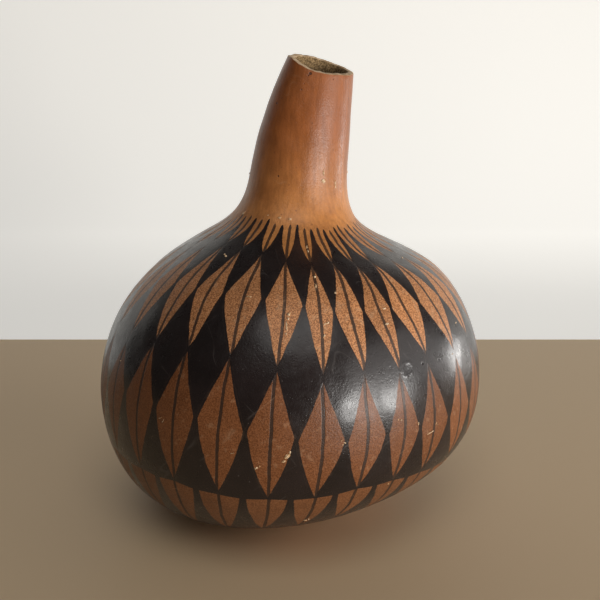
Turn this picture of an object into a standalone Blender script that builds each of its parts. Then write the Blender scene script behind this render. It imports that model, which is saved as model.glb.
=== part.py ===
"""A dried bottle gourd: one hollow shell that leans a little, with its neck cut off at a slant.

The shell is a turned profile whose rings are then shifted and tilted, because the gourd grew crooked.
It stands on a small flat foot at z = 0. +Z is up and -Y is the front.
"""
import math

import bpy
import numpy as np
from mathutils import Vector

MM = 0.001

# Stations up the shell, from the pole under the foot to just past the mouth.
# Each gives the ring's radius, its height above the pole, how far its centre is
# shifted to the right (all in mm), and how far its right side dips (degrees).
STATIONS = (
    (0.0, 0.0, -17.5, -1.0),      # pole
    (52.5, 7.0, -17.0, -2.5),     # round the foot
    (102.5, 29.0, -11.5, -4.0),   # turn of the underside
    (137.0, 65.0, -4.0, -1.0),    # lower belly
    (145.0, 115.5, 0.0, 1.0),     # widest ring
    (131.5, 161.0, 3.0, 1.0),     # upper belly
    (105.5, 193.0, 4.0, 0.5),     # shoulder
    (65.0, 217.0, 3.0, 2.5),      # top of the shoulder
    (46.5, 230.0, 3.5, 3.5),      # root of the neck
    (34.5, 275.5, 8.0, 5.5),      # middle of the neck
    (22.6, 347.0, 23.6, 7.8),     # past the mouth all round
)

WALL = 4.0                        # thickness of the dried shell
FOOT_SINK = 5.0                   # the pole would lie this far below the foot's flat
FOOT_EASE = 1.5                   # the flat runs into the curve over this height

MOUTH_CENTRE = (21.0, 0.0, 333.2) # middle of the slanted cut
MOUTH_FALL_RIGHT = 15.7           # the cut dips to the right by this angle
MOUTH_FALL_FRONT = 14.7           # and towards the front by this one
MOUTH_CUTTER_SIZE = 160.0

SIDES = 44                        # facets round the shell
RINGS = 40                        # rings up it

SKIN_COLOUR = (0.27, 0.12, 0.055)
SKIN_ROUGHNESS = 0.4


def clear_scene():
    for thing in list(bpy.data.objects):
        bpy.data.objects.remove(thing)


def collection(name):
    made = bpy.data.collections.new(name)
    bpy.context.scene.collection.children.link(made)
    return made


class SmoothLine:
    """The smooth curve through the stations, read by the distance along the profile."""

    def __init__(self, stations):
        self.y = np.array(stations)
        self.step = np.hypot(*np.diff(self.y[:, :2], axis=0).T)
        self.t = np.r_[0, np.cumsum(self.step)]
        self.length = self.t[-1]
        self.bend = self.second_slopes()

    def second_slopes(self):
        """Solves for the bends that make the slopes meet; the profile leaves the pole level."""
        step, n = self.step, len(self.t)
        slope = np.diff(self.y, axis=0) / step[:, None]
        level_start = np.array((1.0, 0.0, 0.0, 0.0))
        system = np.eye(n)
        wanted = np.zeros_like(self.y)
        system[0, :2] = 2 * step[0], step[0]
        wanted[0] = 6 * (slope[0] - level_start)
        for i in range(1, n - 1):
            system[i, i - 1:i + 2] = step[i - 1], 2 * (step[i - 1] + step[i]), step[i]
            wanted[i] = 6 * (slope[i] - slope[i - 1])
        return np.linalg.solve(system, wanted)

    def at(self, t):
        """Radius, height, shift and tilt, one row for each distance in t."""
        i = np.clip(np.searchsorted(self.t, t) - 1, 0, len(self.step) - 1)
        step = self.step[i][:, None]
        far = (t - self.t[i])[:, None] / step
        near = 1 - far
        bow = (near**3 - near) * self.bend[i] + (far**3 - far) * self.bend[i + 1]
        return near * self.y[i] + far * self.y[i + 1] + bow * step**2 / 6


def turned_profile(line):
    """The shell's outer skin before it leans: a profile from the mouth down to the pole, turned."""
    radius, height, _, _ = line.at(np.linspace(line.length, 0, RINGS + 1)).T
    radius[-1] = 0.0
    points = [(r * MM, 0, h * MM) for r, h in zip(radius, height)]
    mesh = bpy.data.meshes.new("profile")
    mesh.from_pydata(points, [(i, i + 1) for i in range(RINGS)], [])
    profile = bpy.data.objects.new("profile", mesh)
    bpy.context.scene.collection.objects.link(profile)
    screw = profile.modifiers.new("Turn", "SCREW")
    screw.axis = "Z"
    screw.steps = SIDES
    screw.render_steps = SIDES
    screw.use_merge_vertices = True
    screw.merge_threshold = 0.0001
    turned = bpy.data.meshes.new_from_object(profile.evaluated_get(bpy.context.evaluated_depsgraph_get()))
    bpy.data.objects.remove(profile)
    return turned


def grow_crooked(mesh, line):
    """Shifts and tilts each ring, then presses the underside flat where it meets the ground."""
    t = np.linspace(0, line.length, 2000)
    _, heights, shifts, tilts = line.at(t).T
    for vertex in mesh.vertices:
        height = vertex.co.z / MM
        shift = np.interp(height, heights, shifts)
        tilt = math.radians(np.interp(height, heights, tilts))
        across = vertex.co.x / MM
        lifted = height - across * math.sin(tilt) - FOOT_SINK
        vertex.co.x = (shift + across * math.cos(tilt)) * MM
        vertex.co.z = pressed_flat(lifted) * MM


def pressed_flat(height):
    """A height above the ground: zero below it, with a short eased run into the curve."""
    if height <= -FOOT_EASE:
        return 0.0
    if height < FOOT_EASE:
        return (height + FOOT_EASE) ** 2 / (4 * FOOT_EASE)
    return height


def mouth_cutter(cutters):
    """A block whose underside is the slanted cut."""
    bpy.ops.mesh.primitive_cube_add(size=MOUTH_CUTTER_SIZE * MM)
    cutter = bpy.context.object
    cutter.name = "mouth_cutter"
    across = math.tan(math.radians(MOUTH_FALL_RIGHT))
    forward = math.tan(math.radians(MOUTH_FALL_FRONT))
    facing = Vector((across, -forward, 1)).normalized()
    cutter.rotation_euler = facing.to_track_quat("Z", "Y").to_euler()
    cutter.location = Vector(MOUTH_CENTRE) * MM + facing * MOUTH_CUTTER_SIZE / 2 * MM
    cutter.hide_render = True
    cutter.display_type = "WIRE"
    for home in cutter.users_collection:
        home.objects.unlink(cutter)
    cutters.objects.link(cutter)
    return cutter


def skin_material():
    material = bpy.data.materials.new("dried_gourd_skin")
    material.use_nodes = True
    shader = material.node_tree.nodes["Principled BSDF"]
    shader.inputs["Base Color"].default_value = (*SKIN_COLOUR, 1)
    shader.inputs["Roughness"].default_value = SKIN_ROUGHNESS
    shader.inputs["Metallic"].default_value = 0.0
    return material


def gourd_shell(parts, cutters):
    line = SmoothLine(STATIONS)
    mesh = turned_profile(line)
    mesh.name = "gourd"
    grow_crooked(mesh, line)
    mesh.shade_smooth()
    mesh.materials.clear()
    mesh.materials.append(skin_material())
    gourd = bpy.data.objects.new("gourd", mesh)
    parts.objects.link(gourd)

    wall = gourd.modifiers.new("Wall", "SOLIDIFY")
    wall.thickness = WALL * MM
    wall.offset = -1
    wall.use_even_offset = True

    cut = gourd.modifiers.new("Mouth", "BOOLEAN")
    cut.operation = "DIFFERENCE"
    cut.solver = "EXACT"
    cut.object = mouth_cutter(cutters)
    return gourd


clear_scene()
gourd_shell(collection("dried_bottle_gourd"), collection("cutters"))
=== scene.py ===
"""How the dried bottle gourd looks: its waxed skin with the drawn rows of darts and lozenges,
the pale cut at the mouth, the fibrous inside, and the scars and flecks of use.

Sizes of the shell, the drawing and the wear are in millimetres until a mesh is made; materials,
growth, stage, camera and lights are in metres. A place on the skin is given by a figure number,
which counts round the gourd from the one that faces the front, and by the distance along the
skin from the pole under the foot.
"""
import math

import bmesh
import bpy
import numpy as np
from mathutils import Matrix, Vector, noise


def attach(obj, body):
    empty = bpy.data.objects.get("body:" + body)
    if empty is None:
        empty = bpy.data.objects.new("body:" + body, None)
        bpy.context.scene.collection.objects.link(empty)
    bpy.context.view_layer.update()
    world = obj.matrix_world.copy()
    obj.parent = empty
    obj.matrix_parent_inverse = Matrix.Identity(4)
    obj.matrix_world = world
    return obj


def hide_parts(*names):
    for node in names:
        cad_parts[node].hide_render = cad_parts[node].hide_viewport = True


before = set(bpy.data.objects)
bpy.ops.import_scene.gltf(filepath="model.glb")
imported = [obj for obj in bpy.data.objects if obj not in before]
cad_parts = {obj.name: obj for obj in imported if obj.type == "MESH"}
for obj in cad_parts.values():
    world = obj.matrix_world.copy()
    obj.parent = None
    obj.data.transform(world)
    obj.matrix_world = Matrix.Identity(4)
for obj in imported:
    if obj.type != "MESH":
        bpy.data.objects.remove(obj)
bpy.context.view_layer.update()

MM = 0.001
FULL_TURN = 6.283                 # radians
SEED = 11

# The shell. Stations: ring radius, height above the pole, shift to the right, dip of the right side.
STATIONS = (
    (0.0, 0.0, -17.5, -1.0),
    (52.5, 7.0, -17.0, -2.5),
    (102.5, 29.0, -11.5, -4.0),
    (137.0, 65.0, -4.0, -1.0),
    (145.0, 115.5, 0.0, 1.0),
    (131.5, 161.0, 3.0, 1.0),
    (105.5, 193.0, 4.0, 0.5),
    (65.0, 217.0, 3.0, 2.5),
    (46.5, 230.0, 3.5, 3.5),
    (34.5, 275.5, 8.0, 5.5),
    (22.6, 347.0, 23.6, 7.8),
)
WALL = 4.0
FOOT_SINK = 5.0
FOOT_EASE = 1.5
MOUTH_CENTRE = np.array((21.0, 0.0, 333.2))
MOUTH_FALL_RIGHT = 15.7
MOUTH_FALL_FRONT = 14.7
RIM_ROUND = 0.45                  # rounding of the two edges of the cut
RIM_NICK = (62, 3.0, 0.6)         # a nick's turn round the mouth and half width (degrees), and depth
# The cut face: share of the way from the skin to the inner wall, and rise in units of the rounding.
RIM_PROFILE = ((0.04, 0.7), (0.12, 1.0), (0.3, 1.0), (0.5, 1.0), (0.7, 1.0), (0.88, 1.0), (0.96, 0.7))
# How far the knife wandered above the flat cut, at turns from the front in degrees.
RIM_TURN = (-108, -85, -62, -48, -33, -19, -6, 6, 18, 31, 59, 80, 103, 130, 148, 163, 178, 196, 216, 240)
RIM_LIFT = (-1.1, -0.3, 0.9, 0.8, -0.1, -0.5, -0.7, -0.5, 0, 0.5, 1.1, 0.8,
            0.1, -0.3, -0.5, -0.6, -0.4, -0.2, -0.4, -0.4)
SWELL = 0.35                      # unevenness of the grown skin
SWELL_SIZE = 38.0
CUT_SEARCH = (400.0, 6.0, 160)    # the cut lies from here up to this far past the last station; steps
SKIN, CUT, PULP = range(3)        # the shell's material slots

# The drawing: thirty figures in each row, on the same thirty lines from the neck to the foot.
FIGURES = 30
COLUMNS_PER_FIGURE = 12
COLUMNS = FIGURES * COLUMNS_PER_FIGURE
FIRST_U = 0.5 - FIGURES / 2       # the back, half-way between two figures
LOW_ROWS, NECK_ROWS = 142, 46     # rows of points up the skin, below and above the fringe
INNER_NECK_ROWS, INNER_BELLY_ROWS = 34, 18
SEEN = np.arange(-4, 7)           # figures that show from the front, left to right
BETWEEN = SEEN[:-1] + 0.5         # half-way between them
HIDDEN = np.arange(SEEN[-1] + 1, SEEN[0] + FIGURES)
SEEN_TURN = (-56, -43, -30, -17, -4, 7.8, 18.6, 29.2, 39.2, 52.4, 64.8)   # degrees from the front
FRINGE, DART_TIP = 366.0, 331.8
TALL_TOP, TALL_WIDE, TALL_TIP = 329.0, 289.0, 251.1
BROAD_TOP, BROAD_WIDE, BROAD_TIP = 247.4, 208.0, 169.9
BAND, BAND_HALF = 168.6, 1.3
LOW_TIP, PAINT_END = 113.5, 109.0
LEVEL = 60.0                      # from here down nothing wanders
TALL_FROM, DARTS_FROM = 249.3, 330.4   # between one row of figures and the next
LINE_SWAY, TIP_SWAY = 2.5, 1.2    # how far the hidden lines' tips stray together, and each by itself
LEAST_STEP = 0.8                  # drawn heights on one line stay this far apart
BOW_REACH = 38.0                  # a bow dies out over this height
FIGURE_HALF, LOW_HALF = 0.452, 0.43    # half widths, as a share of the way to the next figure
ROW_MIDDLE, ROW_STEP = 141, 70    # even height of the lowest row's middle, and from row to row

# How far above its even line each drawn tip, corner or line sits on the seen figures.
DRAWN_BY_HAND = {
    LEVEL: (0, 0, 0, 0, 0, 0, 0, 0, 0, 0, 0),
    PAINT_END: (0, -2, -3, -4, 0, 3, 3, 2, 1, 0, 0),
    LOW_TIP: (0, 0, -2, -5, 2, 7, 16, 12, 8, 4, 2),
    BAND: (1, 1, 2, -1, -2, -2, 2, 2, 0, -5, -5),
    BROAD_TIP: (0, 0, 1, 0, -3, -3, 1, 1, 1, -1, 0),
    BROAD_WIDE: (9, 9, 8, 6, 2, -2, -3, -1, -3, -3, -3),
    BROAD_TOP: (-2, 6, 7, 7, 1, -5, -2, -4, -2, -5, -4),
    TALL_TIP: (3, 5, 6, 5, 0, -4, -4, -6, 0, -4, -1),
    TALL_WIDE: (9, 8, 8, 7, 4, -1, -5, -4, -5, -6, -6),
    TALL_TOP: (5, 9, 8, 6, 1, -3, -1, -5, -3, -4, -4),
    DART_TIP: (9, 11, 8, 5, 0, -3, -4, -4, -6, -5, -5),
    FRINGE: (4, 4, 2, 2, 1, 0, -2, -3, -1, -1, 1),
}
# Where neighbours nearly touch, the lines bow off their course by this many degrees, given
# half-way between the seen figures.
BOWED_BY_HAND = {
    TALL_WIDE: (0, -1, -2, 0, 1, -1, -2, -2, -1, 0),
    BROAD_WIDE: (0, 0, 0, 0, 0, 1, 1, 1, 1, 0),
}

# Places of wear: figure, distance up the skin, then sizes in millimetres.
DENTS = (                         # radius and depth
    (-2.85, 255.0, 19.0, 0.8),
    (5.6, 236.0, 15.0, 0.4),
    (11.0, 268.0, 22.0, 0.7),
    (-11.5, 215.0, 25.0, 0.8),
    (-0.6, 426.0, 13.0, 0.35),
)
SCARS = (                         # radius and depth of a healed wound
    (3.26, 244.7, 4.5, 0.24),
    (3.81, 246.2, 1.6, 0.30),
    (-9.4, 262.0, 3.4, 0.40),
    (12.3, 190.0, 2.8, 0.35),
)
PITS = (                          # radius of a small dark hole
    (-0.58, 468.4, 1.0), (-0.72, 467.0, 0.6), (-0.95, 461.0, 0.35), (-1.05, 457.0, 0.30),
    (-1.51, 400.0, 0.55), (-3.6, 446.0, 0.6), (2.6, 466.5, 0.35), (9.5, 430.0, 0.8), (-8.0, 405.0, 0.6),
)
FLECKS = (                        # length, width, and lean from level in degrees
    (0.13, 284.6, 2.5, 1.7, 60), (0.12, 281.6, 2.0, 1.2, 110), (0.10, 276.5, 7.0, 0.8, 96),
    (0.11, 271.6, 1.5, 0.9, 90), (-0.86, 296.1, 3.4, 1.2, 0), (1.03, 314.6, 2.2, 1.4, 60),
    (0.99, 306.4, 2.4, 1.3, 85), (0.98, 345.0, 2.8, 1.2, 80), (1.00, 340.5, 3.2, 0.8, 84),
    (1.17, 278.1, 4.0, 1.1, 25), (1.06, 270.0, 3.0, 0.7, 60), (3.23, 284.8, 2.6, 1.3, 10),
    (3.07, 274.5, 2.8, 1.1, 5), (1.68, 299.7, 1.4, 1.3, 0), (-2.43, 328.5, 2.0, 1.6, 30),
    (-2.55, 329.9, 1.4, 1.2, 80), (0.34, 197.6, 4.4, 2.3, 40), (0.28, 194.4, 2.6, 1.4, 20),
    (0.39, 200.2, 2.0, 1.1, 70), (-0.25, 189.1, 2.3, 1.1, 25), (-0.19, 190.6, 1.3, 0.8, 60),
    (1.39, 206.4, 2.4, 0.6, 20), (1.46, 204.8, 2.2, 0.6, 150), (1.42, 203.4, 1.6, 0.5, 90),
    (3.42, 208.6, 2.0, 1.0, 80), (3.89, 199.4, 6.0, 0.5, 6), (4.07, 204.5, 2.0, 0.5, 40),
    (4.11, 203.3, 1.4, 0.5, 120), (2.88, 213.8, 1.2, 1.0, 0), (2.79, 214.4, 1.0, 0.9, 0),
    (1.03, 135.6, 2.0, 1.1, 20), (1.10, 137.2, 1.2, 0.8, 70), (-2.31, 209.7, 3.4, 0.4, 30),
    (-2.24, 208.4, 2.6, 0.4, 60), (-0.71, 197.3, 2.4, 0.4, 15), (5.6, 262.0, 1.5, 1.0, 40),
    (4.9, 245.0, 1.8, 0.6, 10), (2.99, 399.0, 3.0, 2.7, 0), (2.93, 404.5, 4.8, 1.1, 92),
    (4.57, 396.9, 6.5, 0.9, 90), (-3.97, 370.2, 3.6, 1.6, 55), (-0.77, 371.2, 2.0, 1.4, 10),
    (-0.06, 370.7, 2.4, 1.8, 10), (-3.4, 300.0, 1.2, 0.7, 30), (5.9, 322.0, 1.4, 0.9, 20),
    (-3.97, 232.8, 1.0, 0.8, 0), (2.9, 167.0, 1.2, 0.8, 30), (-1.7, 372.0, 1.2, 0.8, 20),
)
FLECK_HALF = 0.53                 # half a fleck's measures, and a little for its uneven edge
HIDDEN_FLECKS = 34                # drawn by lot on the figures that do not show
HIDDEN_FLECK_FIGURES, HIDDEN_FLECK_HEIGHTS = (7.5, 24.5), (130, 420)

# Lines and colours of the skin.
LINE_HALF = 1.04                  # half width of the drawn midribs and fringe lines
EDGE_SOFT = 0.22                  # softness of the drawing's edges
SIDE_SLIDE = 3.2                  # one side of a figure may sit this much above or below the other
LINE_END_STRAY = 4.5              # the fringe's lines end within this height
GAP_LOT, RIB_LOT = 7.0, 9.0       # sets of draws of their own, apart from the rows' sets 0 to 3
NECK_MIDDLE, NECK_BLEND = 402, 36      # where the neck's two tones meet, and over what height
NECK_LOW, NECK_HIGH = (0.55, 0.226, 0.066, 1), (0.315, 0.097, 0.025, 1)
NECK_STAIN, NECK_FRECKLE = (0.26, 0.078, 0.021, 1), (0.10, 0.036, 0.014, 1)
TALL_DARK, TALL_LIGHT = (0.225, 0.088, 0.029, 1), (0.565, 0.248, 0.100, 1)
BROAD_DARK, BROAD_LIGHT = (0.124, 0.040, 0.0115, 1), (0.208, 0.075, 0.026, 1)
LOW_DARK, LOW_LIGHT = (0.120, 0.042, 0.014, 1), (0.195, 0.078, 0.030, 1)
UNDERSIDE = (0.200, 0.080, 0.032, 1)
BLACK = (0.0140, 0.0088, 0.0082, 1)
RIB_COLOUR = (0.026, 0.0145, 0.0095, 1)
PIT_COLOUR = (0.050, 0.017, 0.009, 1)
WORN_LIGHT = (0.52, 0.31, 0.17, 1)
RUB_COLOUR = (0.085, 0.048, 0.028, 1)
SCRATCH_GREY = (0.13, 0.11, 0.10, 1)
CUT_LIGHT, CUT_BROWN = (0.60, 0.44, 0.28, 1), (0.36, 0.23, 0.12, 1)
PULP_LIGHT, PULP_DARK = (0.33, 0.215, 0.100, 1), (0.12, 0.070, 0.026, 1)
CRUMB_LIGHT, CRUMB_TAN = (0.66, 0.49, 0.31, 1), (0.48, 0.27, 0.12, 1)
FIBRE_COLOUR = (0.36, 0.25, 0.13, 1)
FIBRES_BELOW_CUT = 1.5
FIBRES_DOWN_TO = 425.0            # distance up the profile where the fibres end
PATCH_COLUMNS, PATCH_ROWS = 72, 16     # points of the strip that the fibres grow on
# A fibre's thickness is a share of its length, and a fleck's a share of its width.
FIBRE_SIZES = {"Fibres per square metre": 160000.0, "Length": 0.0036, "Thickness": 0.028}
FLECK_SIZES = {"Thickness": 0.8, "Unevenness": 0.0011}
THICKEST_CRUMB = 0.0007           # half height, in metres
CRUMB_LUMPS = 1100.0              # lumps on a crumb to the metre

CAMERA_AT = (0.007, -0.546, 0.300)
CAMERA_DOWN = 14.49               # degrees below level
CAMERA_LENS, CAMERA_SENSOR = 43.68, 36.0
FLOOR_COLOUR = (0.70, 0.52, 0.325, 1)
FLOOR = (-2.0, 2.0, -2.0, 0.4)    # left, right, front and back edges
BACKDROP_COLOUR, BACKDROP_GLOW = (0.80, 0.785, 0.745, 1), 0.60
BACKDROP = (-3.0, 3.0, 1.3, -1.0, 1.4)   # left and right edges, distance behind, foot and top
ROOM_COLOUR = (0.80, 0.78, 0.75, 1)
ROOM_GLOW, ROOM_SEEN = 0.06, 0.70   # the room's light, and its brightness where the camera sees it
LIGHT_TINT = (1.0, 0.98, 0.95)
LIGHTS_AIM = (0.0, 0.0, 0.15)     # the middle of the belly
LIGHTS = (                        # name, azimuth, elevation, distance, width, height, watts
    ("window_left_pane", 36, -1, 1.5, 0.46, 0.30, 11.0),
    ("window_middle_pane", 57, -1, 1.5, 0.32, 0.30, 7.5),
    ("window_right_pane", 108, -1, 1.5, 0.40, 0.30, 4.5),
    ("window_curtain", 63, 17, 1.8, 2.1, 1.0, 9.5),
    ("room_ceiling", 4, 55, 1.7, 1.2, 1.0, 6.5),
)


class SmoothLine:
    """The smooth curve through the stations, read by the distance along the profile."""

    def __init__(self, stations):
        self.y = np.array(stations)
        self.step = np.hypot(*np.diff(self.y[:, :2], axis=0).T)
        self.t = np.r_[0, np.cumsum(self.step)]
        self.length = self.t[-1]
        self.bend = self.second_slopes()

    def second_slopes(self):
        """Solves for the bends that make the slopes meet; the profile leaves the pole level."""
        step, n = self.step, len(self.t)
        slope = np.diff(self.y, axis=0) / step[:, None]
        level_start = np.array((1.0, 0.0, 0.0, 0.0))
        system = np.eye(n)
        wanted = np.zeros_like(self.y)
        system[0, :2] = 2 * step[0], step[0]
        wanted[0] = 6 * (slope[0] - level_start)
        for i in range(1, n - 1):
            system[i, i - 1:i + 2] = step[i - 1], 2 * (step[i - 1] + step[i]), step[i]
            wanted[i] = 6 * (slope[i] - slope[i - 1])
        return np.linalg.solve(system, wanted)

    def at(self, t):
        """Radius, height, shift and tilt at each distance in t, which may have any shape."""
        i = np.clip(np.searchsorted(self.t, t) - 1, 0, len(self.step) - 1)
        step = self.step[i][..., None]
        far = (t - self.t[i])[..., None] / step
        near = 1 - far
        bow = (near**3 - near) * self.bend[i] + (far**3 - far) * self.bend[i + 1]
        found = near * self.y[i] + far * self.y[i + 1] + bow * step**2 / 6
        return np.moveaxis(found, -1, 0)


LINE = SmoothLine(STATIONS)


def pressed_flat(height):
    """Heights above the ground: zero below it, with a short eased run into the curve."""
    eased = (height + FOOT_EASE) ** 2 / (4 * FOOT_EASE)
    return np.where(height <= -FOOT_EASE, 0.0, np.where(height < FOOT_EASE, eased, height))


def skin(t, turn):
    """Points of the outer skin, t along it from the pole and turned so far from the front."""
    radius, height, shift, tilt = LINE.at(t)
    tilt = np.radians(tilt)
    across = radius * np.sin(turn)
    x = shift + across * np.cos(tilt)
    y = -radius * np.cos(turn)
    z = pressed_flat(height - across * np.sin(tilt) - FOOT_SINK)
    return np.stack((x, y, z), -1)


def outward(t, turn):
    """The skin's outward normals."""
    small = 0.4
    t = np.maximum(t, 1.0)
    up = skin(t + small, turn) - skin(t - small, turn)
    reach = small / np.maximum(LINE.at(t)[0], 1.0)
    along = skin(t, turn + reach) - skin(t, turn - reach)
    normal = np.cross(along, up)
    return normal / np.linalg.norm(normal, axis=-1, keepdims=True)


def inside(t, turn):
    """Points of the inner wall, a wall's thickness in from the skin."""
    return skin(t, turn) - WALL * outward(t, turn)


def round_the_gourd(seen, hidden, gain=0):
    """A function of the figure number through every figure's value, with a gain each round."""
    numbers = np.r_[SEEN, HIDDEN]
    values = np.r_[seen, hidden]
    rounds = np.concatenate([numbers + FIGURES * k for k in (-1, 0, 1)])
    repeated = np.concatenate([values + gain * k for k in (-1, 0, 1)])
    return lambda u: np.interp(u, rounds, repeated)


def turn_lines():
    """The turn of each figure's line, in degrees, as a function of the figure number."""
    ends = SEEN_TURN[-1], 360 + SEEN_TURN[0]
    hidden = np.interp(HIDDEN, (SEEN[-1], SEEN[0] + FIGURES), ends)
    return round_the_gourd(SEEN_TURN, hidden, gain=360)


class Drawing:
    """Carries the even drawing, by figure number and even height, onto the skin as it was drawn."""

    def __init__(self):
        draws = np.random.default_rng(SEED)
        count = len(HIDDEN)
        self.evens = list(DRAWN_BY_HAND)
        self.wander = []
        sway = draws.normal(0, LINE_SWAY, count)
        for even, seen in DRAWN_BY_HAND.items():
            drift = np.zeros(count)
            if even > LEVEL:
                drift = 0.7 * sway + draws.normal(0, TIP_SWAY, count)
            if even in (TALL_TIP, TALL_TOP):
                sway = draws.normal(0, LINE_SWAY, count)
            self.wander.append(round_the_gourd(seen, drift))
        self.line_turn = turn_lines()

    def turn(self, u, v):
        """How far the drawn line u is turned from the front at the even height v, in radians."""
        turned = self.line_turn(u)
        for even, bow in BOWED_BY_HAND.items():
            nearness = np.clip(1 - np.abs(v - even) / BOW_REACH, 0, 1)
            turned = turned + np.interp(u, BETWEEN, bow) * nearness * nearness * (3 - 2 * nearness)
        return np.radians(turned)

    def distance(self, u, v):
        """How far along the skin the even height v is drawn on line u."""
        knots = np.stack([even + move(u) for even, move in zip(self.evens, self.wander)])
        for lower, upper in zip(knots[:-1], knots[1:]):
            np.maximum(upper, lower + LEAST_STEP, out=upper)
        found = np.where(v < LEVEL, v, v + knots[-1] - FRINGE)
        for i, even in enumerate(self.evens[:-1]):
            step = self.evens[i + 1] - even
            here = (v >= even) & (v < self.evens[i + 1])
            found = np.where(here, knots[i] + (v - even) / step * (knots[i + 1] - knots[i]), found)
        return found


DRAWING = Drawing()


def cut_height(points, turn):
    """How far points lie above the mouth's cut, which wanders a little and has one nick."""
    across = math.tan(math.radians(MOUTH_FALL_RIGHT))
    forward = math.tan(math.radians(MOUTH_FALL_FRONT))
    facing = np.array((across, -forward, 1.0))
    facing /= np.linalg.norm(facing)
    lift = np.interp(np.degrees(turn), RIM_TURN, RIM_LIFT, period=360)
    lift += 0.10 * np.sin(11 * turn + 1) + 0.06 * np.sin(23 * turn)
    where, half, depth = RIM_NICK
    away = (np.degrees(turn) - where + 180) % 360 - 180
    return (points - MOUTH_CENTRE) @ facing - lift + depth * np.exp(-((away / half) ** 2))


def distance_to_cut(wall, turn):
    """How far along the profile each line of a wall meets the cut."""
    start, beyond, count = CUT_SEARCH
    steps = np.linspace(start, LINE.length + beyond, count)
    t, turns = np.meshgrid(steps, turn, indexing="ij")
    above = cut_height(wall(t, turns), turns)
    first = np.argmax(above > 0, axis=0)
    columns = np.arange(len(turn))
    low, high = above[first - 1, columns], above[first, columns]
    return steps[first - 1] - low / (high - low) * (steps[1] - steps[0])


def fractal(points, size, smoothness, finer):
    """Three octaves of noise at each point, from this size down; each next one is so much finer."""
    heights = [noise.fractal(Vector(p) / size, smoothness, finer, 3) for p in points.reshape(-1, 3)]
    return np.array(heights).reshape(points.shape[:-1])


def swelled(points, normals):
    """The skin as it grew: broad low swellings along the normals, and a few dents."""
    lift = SWELL * fractal(points, SWELL_SIZE, 0.9, 2.1)
    for figure, distance, radius, depth in DENTS:
        t = np.array([distance])
        centre = skin(t, DRAWING.turn(np.array([figure]), t))[0]
        away = np.linalg.norm(points - centre, axis=-1) / radius
        lift -= depth * np.clip(1 - away * away, 0, 1) ** 2
    lift *= np.clip(points[..., 2] / 12, 0, 1)
    return points + normals * lift[..., None]


def skin_rows():
    """The skin's rows of points from above the pole to just under the cut, with their even heights."""
    u = np.linspace(FIRST_U, FIRST_U + FIGURES, COLUMNS, endpoint=False)
    even = np.linspace(0, FRINGE, LOW_ROWS + 1)[1:]
    v, lines = np.meshgrid(even, u, indexing="ij")
    low_t, low_turn = DRAWING.distance(lines, v), DRAWING.turn(lines, v)

    neck_turn = DRAWING.turn(u, np.full(COLUMNS, FRINGE))
    fringe_t = DRAWING.distance(u, np.full(COLUMNS, FRINGE))
    cut_t = distance_to_cut(skin, neck_turn) - RIM_ROUND
    share = np.linspace(0, 1, NECK_ROWS + 1)[1:, None]
    neck_t = fringe_t + share * (cut_t - fringe_t)
    neck_v = FRINGE + neck_t - fringe_t

    t = np.vstack((low_t, neck_t))
    turn = np.vstack((low_turn, np.broadcast_to(neck_turn, neck_t.shape)))
    return t, turn, np.vstack((v, neck_v)), neck_turn


def fibrous(points, normals, amount, size):
    """Points pushed off their surface by a fine roughness."""
    return points + normals * (amount * fractal(points, size, 0.8, 2.2))[..., None]


def inner_rows(neck_turn):
    """The inner wall's rows of points, from just under the cut down to above the inner pole."""
    top = distance_to_cut(inside, neck_turn) - RIM_ROUND
    share = np.linspace(0, 1, INNER_NECK_ROWS)[:, None]
    neck_t = top + share * (FRINGE - top)
    belly_t = np.linspace(FRINGE, 0, INNER_BELLY_ROWS + 1)[1:-1, None] * np.ones(COLUMNS)
    t = np.vstack((neck_t, belly_t))
    turn = np.broadcast_to(neck_turn, t.shape)
    normals = outward(t, turn)
    amount = np.clip((t - FRINGE) / 60, 0.6, 1) * 0.55
    return t, fibrous(inside(t, turn), -normals, amount, 3.2)


def rim_rows(outer, inner, normals):
    """The sawn face between the skin's last row and the inner wall's first, with rounded edges."""
    up = np.cross(np.roll(outer, -1, 0) - np.roll(outer, 1, 0), inner - outer)
    up /= np.linalg.norm(up, axis=-1, keepdims=True)
    up *= np.sign(up[:, 2:3])
    rows = []
    for share, rise in RIM_PROFILE:
        row = outer + share * (inner - outer) + rise * RIM_ROUND * up
        rows.append(fibrous(row, up, 0.10, 1.1) if 0.1 < share < 0.9 else row)
    return rows


def faces_between(first, count):
    """The faces between a ring of this many points, numbered from the first, and the next ring."""
    j = first + np.arange(count)
    after = first + (np.arange(count) + 1) % count
    return np.stack((j, after, after + count, j + count), 1).tolist()


def figure_widths(row):
    """How wide one figure's share of the way round is at each point of a row."""
    two_columns = np.linalg.norm(np.roll(row, -1, 0) - np.roll(row, 1, 0), axis=1)
    return two_columns / 2 * COLUMNS_PER_FIGURE


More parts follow.
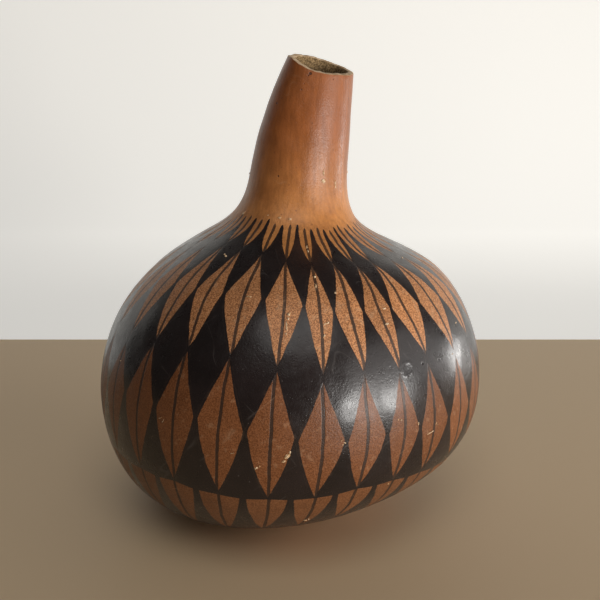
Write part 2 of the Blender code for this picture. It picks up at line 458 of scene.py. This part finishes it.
def closed_mesh(name, rows, evens, materials):
    """One closed skin from rows of points that run from pole to pole, with the drawing's coordinates."""
    count = len(rows) * COLUMNS
    points = np.vstack([rows[0].mean(0, keepdims=True), *rows, rows[-1].mean(0, keepdims=True)])
    j = np.arange(COLUMNS)
    after = (j + 1) % COLUMNS
    faces, corners, slots = [], [], []
    u = FIRST_U + j / COLUMNS_PER_FIGURE
    next_u = u + 1 / COLUMNS_PER_FIGURE
    for i in range(len(rows) - 1):
        faces += faces_between(1 + i * COLUMNS, COLUMNS)
        low, high = evens[i], evens[i + 1]
        corners.append(np.stack((u, low, next_u, low[after], next_u, high[after], u, high), 1))
        slots += [materials[i]] * COLUMNS
    poles = ((0, 1, (after, j), (next_u, u)), (count + 1, 1 + count - COLUMNS, (j, after), (u, next_u)))
    for pole, first, (one, two), (u_one, u_two) in poles:
        row = 0 if pole == 0 else -1
        faces += np.stack((np.full(COLUMNS, pole), first + one, first + two), 1).tolist()
        level = np.full(COLUMNS, evens[row].mean())
        middle = (u_one + u_two) / 2
        corners.append(np.stack((middle, level, u_one, level, u_two, level), 1))
        slots += [materials[row]] * COLUMNS
    mesh = bpy.data.meshes.new(name)
    mesh.from_pydata((points * MM).tolist(), [], faces)
    drawn = mesh.uv_layers.new(name="figure")
    drawn.data.foreach_set("uv", np.concatenate([corner.ravel() for corner in corners]))
    mesh.polygons.foreach_set("material_index", slots)
    girth = mesh.attributes.new("girth", "FLOAT", "POINT")
    girth.data.foreach_set("value", np.concatenate(([1.0], *map(figure_widths, rows), [1.0])))
    mesh.shade_smooth()
    return mesh


def heal_scars(mesh):
    """Gives each scar a patch of finer faces, then its pit and its raised lip."""
    work = bmesh.new()
    work.from_mesh(mesh)
    for figure, distance, radius, depth in SCARS:
        centre, normal = place_on_skin(figure, distance)
        skin_faces = [face for face in work.faces if face.material_index == SKIN]
        near = [face for face in skin_faces
                if (face.calc_center_median() / MM - centre).length < radius * 2]
        edges = list({edge for face in near for edge in face.edges})
        bmesh.ops.subdivide_edges(work, edges=edges, cuts=4, use_grid_fill=True)
        for vertex in work.verts:
            away = vertex.co / MM - centre
            if away.length > radius * 1.5:
                continue
            r = away.length / radius
            lumps = noise.noise(vertex.co / MM / 1.6)
            pit = -depth * max(0.0, 1 - (r * (1.25 + 0.3 * lumps)) ** 2) * (1 + 0.9 * lumps)
            lip = 0.6 * depth * math.exp(-(((r - 0.95) / 0.25) ** 2)) * (0.8 + 1.2 * lumps)
            vertex.co += normal * (pit + lip) * MM
    work.to_mesh(mesh)
    work.free()


def place_on_skin(figure, distance):
    """The point of the swelled skin at a figure number and a distance up the skin, and its normal."""
    t = np.array([float(distance)])
    turn = DRAWING.turn(np.array([float(figure)]), t)
    normal = outward(t, turn)
    point = swelled(skin(t, turn), normal)
    return Vector(point[0]), Vector(normal[0])


def gourd_shell():
    """The whole shell as one closed mesh: skin, sawn rim and inner wall."""
    t, turn, evens, neck_turn = skin_rows()
    normals = outward(t, turn)
    outer = swelled(skin(t, turn), normals)
    inner_t, inner = inner_rows(neck_turn)
    rim = rim_rows(outer[-1], inner[0], normals[-1])
    rim_even = [evens[-1] + share * WALL for share, _ in RIM_PROFILE]
    rows = [*outer, *rim, *inner]
    all_evens = [*evens, *rim_even, *inner_t]
    materials = [SKIN] * len(outer) + [CUT] * len(rim) + [PULP] * (len(inner) - 1)
    mesh = closed_mesh("gourd_shell", rows, all_evens, materials)
    heal_scars(mesh)
    shell = bpy.data.objects.new("gourd_shell", mesh)
    bpy.context.scene.collection.objects.link(shell)
    return shell


class Value:
    """A node's output that takes part in arithmetic: each operation adds a Math node."""

    def __init__(self, tree, socket):
        self.tree = tree
        self.socket = socket

    def math(self, operation, *others):
        return self.tree.node("ShaderNodeMath", {"operation": operation}, (self, *others))

    def __add__(self, other):
        return self.math("ADD", other)

    def __radd__(self, other):
        return self + other

    def __sub__(self, other):
        return self.math("SUBTRACT", other)

    def __rsub__(self, other):
        return self.tree.node("ShaderNodeMath", {"operation": "SUBTRACT"}, (other, self))

    def __mul__(self, other):
        return self.math("MULTIPLY", other)

    def __rmul__(self, other):
        return self * other

    def __truediv__(self, other):
        return self.math("DIVIDE", other)

    def __rtruediv__(self, other):
        return self.tree.node("ShaderNodeMath", {"operation": "DIVIDE"}, (other, self))

    def __pow__(self, power):
        return self.math("POWER", power)

    def __abs__(self):
        return self.math("ABSOLUTE")

    def floor(self):
        return self.math("FLOOR")

    def at_least(self, other):
        return self.math("MAXIMUM", other)

    def at_most(self, other):
        return self.math("MINIMUM", other)

    def past(self, edge, soft):
        """Rises smoothly from 0 to 1 as the value passes the edge, over twice the softness."""
        return self.tree.node("ShaderNodeMapRange", {"interpolation_type": "SMOOTHSTEP"},
                              {"Value": self, "From Min": edge - soft, "From Max": edge + soft})

    def near(self, target, half, soft):
        """1 within half of the target value, falling smoothly to 0 beyond it."""
        return 1 - abs(self - target).past(half, soft)


class Tree:
    """A node tree under construction."""

    def __init__(self, tree):
        self.tree = tree

    def node(self, kind, settings=None, inputs=(), out=0):
        """Adds a node, makes its settings, then feeds its inputs by number or name."""
        made = self.tree.nodes.new(kind)
        for name, value in (settings or {}).items():
            setattr(made, name, value)
        pairs = inputs.items() if isinstance(inputs, dict) else enumerate(inputs)
        for key, value in pairs:
            if isinstance(value, Value):
                self.tree.links.new(value.socket, made.inputs[key])
            else:
                made.inputs[key].default_value = value
        return Value(self, made.outputs[out])

    def sibling(self, value, out):
        """Another output of the node that a value comes from."""
        return Value(self, value.socket.node.outputs[out])

    def triple(self, x, y=0.0, z=0.0):
        return self.node("ShaderNodeCombineXYZ", {}, (x, y, z))

    def mix(self, share, one, other):
        """The colour one where share is 0 and the other where it is 1."""
        return self.node("ShaderNodeMix", {"data_type": "RGBA"}, {0: share, 6: one, 7: other}, out=2)

    def dim(self, colour, by):
        """A colour made lighter or darker."""
        source = colour if isinstance(colour, Value) else colour[:3]
        return self.node("ShaderNodeVectorMath", {"operation": "SCALE"}, {0: source, 3: by})

    def stretch(self, where, by):
        """A place stretched by a factor along each axis."""
        return self.node("ShaderNodeVectorMath", {"operation": "MULTIPLY"}, (where, by))

    def grain(self, where, size, detail=2.0):
        """Noise from 0 to 1 whose features are about this size, in the units of where."""
        inputs = {"Vector": where, "Scale": 1 / size, "Detail": detail}
        return self.node("ShaderNodeTexNoise", {}, inputs)

    def spots(self, where, size, radius, soft, least, vague):
        """Round spots, measured in cells of this size, in the cells whose own draw passes the least."""
        distance = self.node("ShaderNodeTexVoronoi", {}, {"Vector": where, "Scale": 1 / size})
        draw = self.node("ShaderNodeSeparateColor", {}, (self.sibling(distance, "Color"),))
        return (1 - distance.past(radius, soft)) * draw.past(least, vague)

    def draws(self, where, what=0.0):
        """Three numbers drawn by lot for each whole number, and for each set of them."""
        key = {"Vector": self.triple(where, what)}
        drawn = self.node("ShaderNodeTexWhiteNoise", {"noise_dimensions": "2D"}, key, out="Color")
        first = self.node("ShaderNodeSeparateColor", {}, (drawn,))
        return first, self.sibling(first, 1), self.sibling(first, 2)

    def bump(self, strength, distance, height):
        """The normal of a surface with this relief."""
        inputs = {"Strength": strength, "Distance": distance, "Height": height}
        return self.node("ShaderNodeBump", {}, inputs, out="Normal")

    def feed(self, shader, slot, value):
        """Links a value to one of the shader's inputs."""
        self.tree.links.new(value.socket, shader.inputs[slot])


def lozenge(v, top, wide, tip, fullness):
    """The share of its full width that a lozenge has at each height; fullness bows its sides."""
    up = ((v - wide) / (top - wide)).at_least(0)
    down = ((wide - v) / (wide - tip)).at_least(0)
    upper = (1 - up) * (1 + fullness[0] * up)
    lower = (1 - down) * (1 + fullness[1] * down)
    return upper.math("SMOOTH_MIN", lower, 0.06)


def line_top(height, v):
    """How much of its full width a line of the fringe has, below the height where it was started."""
    return ((height - v) / 3.0).at_least(0).at_most(1) ** 0.5


def drawing(t, place):
    """The drawing on the skin, as masks from 0 to 1 and lengths in millimetres.

    Returns the even height, how far inside a figure each place is, the midribs, the painted ground
    and a number for each figure drawn by lot.
    """
    u = t.node("ShaderNodeSeparateXYZ", {}, (t.node("ShaderNodeUVMap", {"uv_map": "figure"}),))
    v = t.sibling(u, "Y")
    girth = t.node("ShaderNodeAttribute", {"attribute_name": "girth"}, out="Fac")
    figure = (u + 0.5).floor()
    row = v.past(DARTS_FROM, 0.01) + v.past(TALL_FROM, 0.01) + v.past(BAND, 0.01)
    aside, slide, tone = t.draws(figure, row)
    gap_height, gap_width, _ = t.draws(u.floor(), GAP_LOT)
    rib_height, _, _ = t.draws(figure, RIB_LOT)

    # How far a place lies from its figure's line, with the unsteadiness of the hand.
    hand = (t.grain(place, 0.011) - 0.5) * 1.3 + (t.grain(place, 0.0016) - 0.5) * 0.6
    across = (u - figure) * girth + hand
    side = (u - figure).past(0, 0.002) - 0.5
    slid = v + side * (slide - 0.5) * SIDE_SLIDE
    breadth = FIGURE_HALF + (tone - 0.5) * 0.025

    # Each row's half width; the rows don't overlap, so the widest counts.
    tall = lozenge(slid, TALL_TOP, TALL_WIDE, TALL_TIP, (0.10, 0.15)) * breadth
    broad = lozenge(slid, BROAD_TOP, BROAD_WIDE, BROAD_TIP, (0.0, 0.45)) * breadth
    gap_top = FRINGE + (gap_height - 0.5) * LINE_END_STRAY
    gap = line_top(gap_top, v) * (0.75 + 0.4 * gap_width) * LINE_HALF / girth
    fall = ((FRINGE - slid) / (FRINGE - DART_TIP)).at_least(0)
    dart = 0.5 + v.past(gap_top, 0.3) * 0.1 - gap - (0.5 - LINE_HALF / girth) * fall**1.8
    under_band = BAND - BAND_HALF - v
    hang = (under_band / (BAND - BAND_HALF - LOW_TIP)).at_least(0)
    low = (LOW_HALF - LOW_HALF * hang**1.5).at_most(under_band * 0.5)
    half = tall.at_least(broad).at_least(dart).at_least(low)
    within = half * girth - abs(across)

    # The midribs, which lean with their figures and end in the fringe.
    lean = (v - (ROW_MIDDLE + ROW_STEP * row)) * (slide - 0.5) * 0.0011
    rib_at = ((aside - 0.5) * 0.045 + lean) * girth
    rib_top = FRINGE + (rib_height - 0.5) * LINE_END_STRAY
    rib_half = LINE_HALF * (0.85 + 0.3 * t.grain(place, 0.014)) * line_top(rib_top, v)
    rib = 1 - (abs(across - rib_at) - rib_half).past(0, EDGE_SOFT)
    rib = rib * (FRINGE + 3 - v).past(0, 1) * v.past(LOW_TIP, 1)

    # The painted ground, with a ragged lower edge and a few drips.
    drips = (t.grain(t.triple(u * 3.0), 1.0, 0) - 0.62).at_least(0) * 34
    ragged = (t.grain(place, 0.009) - 0.5) * 3.2 + drips
    ground = (v + ragged).past(PAINT_END, 0.35) * (1 - v.past(FRINGE + 4, 0.02))
    ground = ground * (1 - within.past(0, EDGE_SOFT))
    return v, within, rib, ground, tone


def scratches(t, place, angle, size):
    """Thin scratches that run at an angle to the upright, in short broken lengths."""
    about = {"Vector": place, "Angle": angle}
    turned = t.node("ShaderNodeVectorRotate", {"rotation_type": "Y_AXIS"}, about)
    drawn_out = t.stretch(turned, (1.0, 0.35, 0.06))
    lines = t.grain(drawn_out, size, 1.0).near(0.5, 0.0015, 0.0045)
    return lines * t.grain(place, 0.017, 1.0).past(0.57, 0.05)


def pitted(t, place):
    """The small dark holes, as a mask from 0 to 1."""
    uneven = (t.grain(place, 0.0014, 2.0) - 0.5) * 0.0016
    found = 0.0
    for figure, distance, radius in PITS:
        centre, _ = place_on_skin(figure, distance)
        ends = (place, centre * MM)
        away = t.node("ShaderNodeVectorMath", {"operation": "DISTANCE"}, ends, out="Value")
        found = found + (1 - (away + uneven).past(radius * MM, 0.0003))
    return found.at_most(1)


class Grains:
    """The noises that the skin's colours, shine and relief share, from fine to broad."""

    def __init__(self, t, place):
        self.speckle = t.grain(place, 0.00085, 2.0).past(0.5, 0.15)
        self.fine = t.grain(place, 0.0016, 2.0)
        self.coarse = t.grain(place, 0.0042, 2.0)
        self.patch = t.grain(place, 0.011, 3.0)
        self.mottle = t.grain(place, 0.026, 3.0)
        self.streak = t.grain(t.stretch(place, (1.0, 1.0, 0.07)), 0.0026, 3.0)


def neck_colour(t, place, v, grains, holes):
    """Tan skin, redder towards the mouth, with stains, streaks, freckles and small dark holes."""
    neck = t.mix(v.past(NECK_MIDDLE, NECK_BLEND), NECK_LOW, NECK_HIGH)
    neck = t.mix(grains.mottle.past(0.56, 0.18) * 0.45, neck, NECK_STAIN)
    neck = t.dim(neck, 0.36 + 0.22 * grains.patch + 0.70 * grains.streak + 0.20 * grains.fine)
    freckles = t.spots(place, 0.0052, 0.13, 0.07, 0.80, 0.02)
    neck = t.mix(freckles * 0.5, neck, NECK_FRECKLE)
    return t.mix(holes * 0.85, neck, PIT_COLOUR)


def bare_colour(t, v, grains, tone, neck):
    """The skin where it isn't painted: the underside, the scraped rows, the darts and the neck."""
    tall = t.mix(grains.speckle, TALL_DARK, TALL_LIGHT)
    tall = t.mix(grains.coarse.past(0.63, 0.08) * 0.35, tall, WORN_LIGHT)
    broad = t.mix(grains.speckle, BROAD_DARK, BROAD_LIGHT)
    broad = t.mix(grains.coarse.past(0.66, 0.06) * 0.16, broad, WORN_LIGHT)
    low = t.mix(grains.speckle, LOW_DARK, LOW_LIGHT)
    under = t.dim(UNDERSIDE, 0.55 + 0.5 * grains.mottle + 0.35 * grains.streak)
    under = t.mix(v.near(5.2, 1.2, 1.0) * 0.7, under, RIB_COLOUR)
    under = t.mix(v.near(30.0, 9.0, 9.0) * 0.35, under, WORN_LIGHT)
    bare = t.mix(v.past(PAINT_END, 0.5), under, low)
    bare = t.mix(v.past(BAND, 0.5), bare, broad)
    bare = t.mix(v.past(TALL_FROM, 0.5), bare, tall)
    scraped = t.dim(bare, 0.55 + 0.25 * tone + 0.35 * grains.mottle + 0.30 * grains.patch)
    darts = t.mix(grains.speckle * 0.5, neck, t.dim(neck, 0.62))
    bare = t.mix(v.past(DARTS_FROM, 0.5), scraped, darts)
    return t.mix(v.past(FRINGE + 2, 6.0), bare, neck)


def painted_colour(t, place, within, grains, lines):
    """The near-black ground, with scribed outlines, rubbed edges, scratches and dust."""
    dark = t.dim(BLACK, 0.3 + 1.4 * grains.mottle)
    scribed = within.near(-1.7, 0.10, 0.12) * grains.patch.past(0.50, 0.04) * 0.30
    rubbed = (1 - abs(within).past(0.9, 0.8)) * grains.coarse.past(0.60, 0.06) * 0.35
    dark = t.mix(scribed.at_least(rubbed), dark, RUB_COLOUR)
    dark = t.mix(lines * 0.30, dark, SCRATCH_GREY)
    dust = t.spots(place, 0.0034, 0.11, 0.05, 0.90, 0.02)
    return t.mix(dust * 0.5, dark, SCRATCH_GREY)


def skin_relief(t, place, grains, rib, ground, holes):
    """The height of the skin's fine relief, which is flatter on the painted ground."""
    pits = t.spots(place, 0.0016, 0.20, 0.14, 0.78, 0.05)
    grain = grains.fine * 0.7 + grains.coarse * 0.4 + grains.speckle * (0.30 - 0.14 * ground)
    return grain - pits * 0.5 - rib * (0.8 - 0.65 * ground) - holes * 3


def skin_material():
    """Waxed skin: mottled tan neck, near-black ground, stippled figures scraped back to brown."""
    material = bpy.data.materials.new("waxed_gourd_skin")
    material.use_nodes = True
    t, shader, place = tree_of(material)
    v, within, rib, ground, tone = drawing(t, place)
    grains = Grains(t, place)
    holes = pitted(t, place)
    lines = scratches(t, place, 0.7, 0.020).at_least(scratches(t, place, -0.9, 0.026))

    neck = neck_colour(t, place, v, grains, holes)
    bare = bare_colour(t, v, grains, tone, neck)
    dark = painted_colour(t, place, within, grains, lines)
    surface = t.mix(rib * (0.80 + 0.2 * t.grain(place, 0.006)), bare, RIB_COLOUR)
    surface = t.mix(lines * 0.20 * (1 - ground), surface, WORN_LIGHT)
    t.feed(shader, "Base Color", t.mix(ground, surface, dark))

    uneven = (grains.coarse - 0.5) * 0.2 + (grains.patch - 0.5) * 0.2
    roughness = 0.44 + uneven - ground * 0.13 + lines * 0.1
    t.feed(shader, "Roughness", roughness - v.past(FRINGE + 10, 12.0) * 0.09)
    relief = skin_relief(t, place, grains, rib, ground, holes)
    t.feed(shader, "Normal", t.bump(0.5, 0.0003, relief))
    t.feed(shader, "Coat Weight", 0.04 + ground * 0.17)
    shader.inputs["Coat Roughness"].default_value = 0.15
    shader.inputs["Specular IOR Level"].default_value = 0.42
    return material


def plain_material(name, rgb, roughness):
    material = bpy.data.materials.new(name)
    material.use_nodes = True
    shader = material.node_tree.nodes["Principled BSDF"]
    shader.inputs["Base Color"].default_value = rgb
    shader.inputs["Roughness"].default_value = roughness
    return material


def tree_of(material):
    """A material's tree to build on, its shader, and the place on the object in metres."""
    t = Tree(material.node_tree)
    shader = material.node_tree.nodes["Principled BSDF"]
    return t, shader, t.node("ShaderNodeTexCoord", out="Object")


def cut_material():
    """The sawn rim: pale beige wall with browner patches."""
    material = plain_material("sawn_gourd_wall", CUT_LIGHT, 0.75)
    t, shader, place = tree_of(material)
    mottle = t.grain(place, 0.006, 3.0)
    fine = t.grain(place, 0.0007, 2.0)
    face = t.mix(mottle.past(0.5, 0.16), CUT_LIGHT, CUT_BROWN)
    t.feed(shader, "Base Color", t.dim(face, 0.75 + 0.5 * fine))
    t.feed(shader, "Normal", t.bump(0.5, 0.0002, fine))
    return material


def pulp_material():
    """The dry inner wall: olive brown, fibrous and dull."""
    material = plain_material("dry_inner_pulp", PULP_DARK, 0.9)
    t, shader, place = tree_of(material)
    mottle = t.grain(place, 0.008, 3.0)
    fine = t.grain(place, 0.0011, 3.0)
    wall = t.mix(fine.past(0.5, 0.12), PULP_DARK, PULP_LIGHT)
    t.feed(shader, "Base Color", t.dim(wall, 0.6 + 0.8 * mottle))
    t.feed(shader, "Normal", t.bump(0.7, 0.0005, fine))
    return material


def crumb_material():
    """The raised flecks: pale beige with patches of tan."""
    material = plain_material("pale_crumb", CRUMB_LIGHT, 0.42)
    t, shader, place = tree_of(material)
    colour = t.mix(t.grain(place, 0.0024, 2.0).past(0.52, 0.10), CRUMB_LIGHT, CRUMB_TAN)
    t.feed(shader, "Base Color", colour)
    return material


def grown(name, base, grow, material, sizes):
    """An object whose mesh geometry nodes grow from a base mesh; sizes are the tree's named inputs."""
    group = bpy.data.node_groups.new(name, "GeometryNodeTree")
    group.interface.new_socket("Base", in_out="INPUT", socket_type="NodeSocketGeometry")
    for size in sizes:
        group.interface.new_socket(size, in_out="INPUT", socket_type="NodeSocketFloat")
    group.interface.new_socket("Grown", in_out="OUTPUT", socket_type="NodeSocketGeometry")
    t = Tree(group)
    entry = group.nodes.new("NodeGroupInput")
    given = {socket.name: Value(t, socket) for socket in entry.outputs if socket.name}
    shape = t.node("GeometryNodeRealizeInstances", {}, (grow(t, given),))
    shape = t.node("GeometryNodeSetMaterial", {}, {"Geometry": shape, "Material": material})
    group.links.new(shape.socket, group.nodes.new("NodeGroupOutput").inputs[0])

    piece = bpy.data.objects.new(name, base)
    bpy.context.scene.collection.objects.link(piece)
    modifier = piece.modifiers.new("Grow", "NODES")
    modifier.node_group = group
    for item in group.interface.items_tree:
        if item.name in sizes:
            modifier[item.identifier] = sizes[item.name]
    depsgraph = bpy.context.evaluated_depsgraph_get()
    mesh = bpy.data.meshes.new_from_object(piece.evaluated_get(depsgraph))
    piece.modifiers.clear()
    piece.data = mesh
    mesh.name = name
    return piece


def fleck_points():
    """One point on the skin for each fleck, with its outward way, lean and size."""
    draws = np.random.default_rng(SEED + 1)
    flecks = list(FLECKS)
    for _ in range(HIDDEN_FLECKS):
        length = draws.uniform(0.8, 3.2)
        figure = draws.uniform(*HIDDEN_FLECK_FIGURES)
        distance = draws.uniform(*HIDDEN_FLECK_HEIGHTS)
        width = draws.uniform(0.35, 0.8) * min(length, 1.8)
        flecks.append((figure, distance, length, width, draws.uniform(0, 180)))
    mesh = bpy.data.meshes.new("fleck_points")
    places = [place_on_skin(figure, distance) for figure, distance, *_ in flecks]
    mesh.from_pydata([point * MM for point, _ in places], [], [])
    outwards = mesh.attributes.new("outwards", "FLOAT_VECTOR", "POINT")
    outwards.data.foreach_set("vector", np.ravel([normal for _, normal in places]))
    measures = {
        "long": [length * MM * FLECK_HALF for _, _, length, _, _ in flecks],
        "wide": [width * MM * FLECK_HALF for _, _, _, width, _ in flecks],
        "lean": [math.radians(lean) for *_, lean in flecks],
    }
    for name, values in measures.items():
        mesh.attributes.new(name, "FLOAT", "POINT").data.foreach_set("value", values)
    return mesh


def turned_about_z(t, rotation, angle):
    """A rotation followed by a turn about its own z axis."""
    turn = t.node("FunctionNodeAxisAngleToRotation", {}, {"Axis": (0.0, 0.0, 1.0), "Angle": angle})
    return t.node("FunctionNodeRotateRotation", {"rotation_space": "LOCAL"}, (rotation, turn))


def grow_flecks(t, given):
    """A small uneven crumb on each point, half sunk in the skin."""
    def read(name, kind="FLOAT"):
        asked = {"data_type": kind}, {"Name": name}
        return t.node("GeometryNodeInputNamedAttribute", *asked, out="Attribute")

    outwards = read("outwards", "FLOAT_VECTOR")
    crumb = t.node("GeometryNodeMeshIcoSphere", {}, {"Radius": 1.0, "Subdivisions": 2})
    standing = t.node("FunctionNodeAlignRotationToVector", {"axis": "Z"}, {"Vector": outwards})
    level = t.node("FunctionNodeAlignRotationToVector", {"axis": "Y", "pivot_axis": "Z"},
                   {"Rotation": standing, "Vector": (0.0, 0.0, 1.0)})
    turned = turned_about_z(t, level, read("lean"))
    thick = (read("wide") * given["Thickness"]).at_most(THICKEST_CRUMB)
    size = t.triple(read("long"), read("wide"), thick)
    crumbs = t.node("GeometryNodeInstanceOnPoints", {},
                    {"Points": given["Base"], "Instance": crumb, "Rotation": turned, "Scale": size})
    crumbs = t.node("GeometryNodeRealizeInstances", {}, (crumbs,))
    where = t.node("GeometryNodeInputPosition")
    lumps = {"Vector": where, "Scale": CRUMB_LUMPS, "Detail": 1.0}
    push = t.node("ShaderNodeTexNoise", {}, lumps, out="Color")
    push = t.node("ShaderNodeVectorMath", {"operation": "SUBTRACT"}, (push, (0.5, 0.5, 0.5)))
    push = t.node("ShaderNodeVectorMath", {"operation": "SCALE"}, {0: push, 3: given["Unevenness"]})
    return t.node("GeometryNodeSetPosition", {}, {"Geometry": crumbs, "Offset": push})


def mouth_patch():
    """The inner wall just under the cut, as a strip of faces for the fibres to grow on."""
    turn = np.linspace(0, 2 * math.pi, PATCH_COLUMNS, endpoint=False)
    top = distance_to_cut(inside, turn) - FIBRES_BELOW_CUT
    t = top + np.linspace(0, 1, PATCH_ROWS)[:, None] * (FIBRES_DOWN_TO - top)
    points = inside(t, np.broadcast_to(turn, t.shape)).reshape(-1, 3)
    faces = []
    for row in range(PATCH_ROWS - 1):
        faces += faces_between(row * PATCH_COLUMNS, PATCH_COLUMNS)
    mesh = bpy.data.meshes.new("mouth_patch")
    mesh.from_pydata((points * MM).tolist(), [], faces)
    return mesh


def grow_fibres(t, given):
    """Short curled fibres that lie along the inner wall with one end lifted off it."""
    scatter = {"Mesh": given["Base"], "Density": given["Fibres per square metre"], "Seed": SEED}
    points = t.node("GeometryNodeDistributePointsOnFaces", {}, scatter)
    facing = t.sibling(points, "Rotation")

    def lot(low, high, seed):
        limits = {2: low, 3: high, 8: seed}
        return t.node("FunctionNodeRandomValue", {"data_type": "FLOAT"}, limits, out=1)

    bow = {"Resolution": 4,
           "Start": (-0.5, 0.0, -0.05), "Middle": (0.1, 0.22, 0.10), "End": (0.5, 0.0, 0.22)}
    curl = t.node("GeometryNodeCurveQuadraticBezier", {}, bow)
    three_sided = {"Resolution": 3, "Radius": given["Thickness"]}
    section = t.node("GeometryNodeCurvePrimitiveCircle", {}, three_sided)
    fibre = t.node("GeometryNodeCurveToMesh", {},
                   {"Curve": curl, "Profile Curve": section, "Fill Caps": True})
    turned = turned_about_z(t, facing, lot(0.0, FULL_TURN, 1))
    long = given["Length"] * lot(0.45, 1.0, 2)
    return t.node("GeometryNodeInstanceOnPoints", {},
                  {"Points": points, "Instance": fibre, "Rotation": turned,
                   "Scale": t.triple(long, long, long)})


def place_camera():
    camera = bpy.data.objects.new("camera", bpy.data.cameras.new("camera"))
    camera.location = CAMERA_AT
    camera.rotation_euler = (math.radians(90 - CAMERA_DOWN), 0, 0)
    camera.data.lens = CAMERA_LENS
    camera.data.sensor_width = CAMERA_SENSOR
    bpy.context.scene.collection.objects.link(camera)
    bpy.context.scene.camera = camera


def stage_sheet(name, corners, material):
    mesh = bpy.data.meshes.new(name)
    mesh.from_pydata(corners, [], [(0, 1, 2, 3)])
    mesh.materials.append(material)
    sheet = bpy.data.objects.new(name, mesh)
    bpy.context.scene.collection.objects.link(sheet)
    return sheet


def soft_light(name, azimuth, elevation, distance, width, height, watts):
    """An area light that faces the belly; its azimuth counts from the front to the right."""
    data = bpy.data.lights.new(name, "AREA")
    data.shape = "RECTANGLE"
    data.size, data.size_y = width, height
    data.energy = watts
    data.color = LIGHT_TINT
    lamp = bpy.data.objects.new(name, data)
    a, e = math.radians(azimuth), math.radians(elevation)
    away = Vector((math.sin(a) * math.cos(e), -math.cos(a) * math.cos(e), math.sin(e)))
    lamp.location = Vector(LIGHTS_AIM) + away * distance
    lamp.rotation_euler = away.to_track_quat("Z", "Y").to_euler()
    lamp.visible_camera = False
    bpy.context.scene.collection.objects.link(lamp)
    return lamp


def build_stage():
    """A plain floor, and behind it a plain backdrop with a faint glow, which is returned."""
    floor = plain_material("pale_floor", FLOOR_COLOUR, 0.6)
    left, right, front, back = FLOOR
    stage_sheet("floor", ((left, front, 0), (right, front, 0), (right, back, 0), (left, back, 0)), floor)
    backdrop = plain_material("pale_backdrop", BACKDROP_COLOUR, 0.9)
    shader = backdrop.node_tree.nodes["Principled BSDF"]
    shader.inputs["Emission Color"].default_value = BACKDROP_COLOUR
    shader.inputs["Emission Strength"].default_value = BACKDROP_GLOW
    left, right, y, foot, top = BACKDROP
    corners = ((left, y, foot), (right, y, foot), (right, y, top), (left, y, top))
    return stage_sheet("backdrop", corners, backdrop)


def light_the_stage(above_floor):
    """The panes are flagged off the floor, so that they light only what stands above it."""
    lit_by_panes = bpy.data.collections.new("lit_by_panes")
    for thing in above_floor:
        lit_by_panes.objects.link(thing)
    for light in LIGHTS:
        lamp = soft_light(*light)
        if lamp.name.endswith("pane"):
            lamp.light_linking.receiver_collection = lit_by_panes
    world = bpy.data.worlds.new("room")
    bpy.context.scene.world = world
    world.use_nodes = True
    back = world.node_tree.nodes["Background"]
    back.inputs["Color"].default_value = ROOM_COLOUR
    t = Tree(world.node_tree)
    seen = t.node("ShaderNodeLightPath", out="Is Camera Ray")
    strength = ROOM_GLOW + seen * (ROOM_SEEN - ROOM_GLOW)
    world.node_tree.links.new(strength.socket, back.inputs["Strength"])
    bpy.context.scene.view_settings.view_transform = "Standard"


def hand_over(piece):
    """Attaches a piece to the CAD's root body, which it rides on."""
    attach(piece, "root")


shell = gourd_shell()
for make in (skin_material, cut_material, pulp_material):
    shell.data.materials.append(make())
hand_over(shell)
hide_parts("gourd")

flecks = grown("surface_flecks", fleck_points(), grow_flecks, crumb_material(), FLECK_SIZES)
hand_over(flecks)
fibre = plain_material("dry_fibre", FIBRE_COLOUR, 0.8)
fibres = grown("mouth_fibres", mouth_patch(), grow_fibres, fibre, FIBRE_SIZES)
hand_over(fibres)

place_camera()
light_the_stage((shell, flecks, fibres, build_stage()))
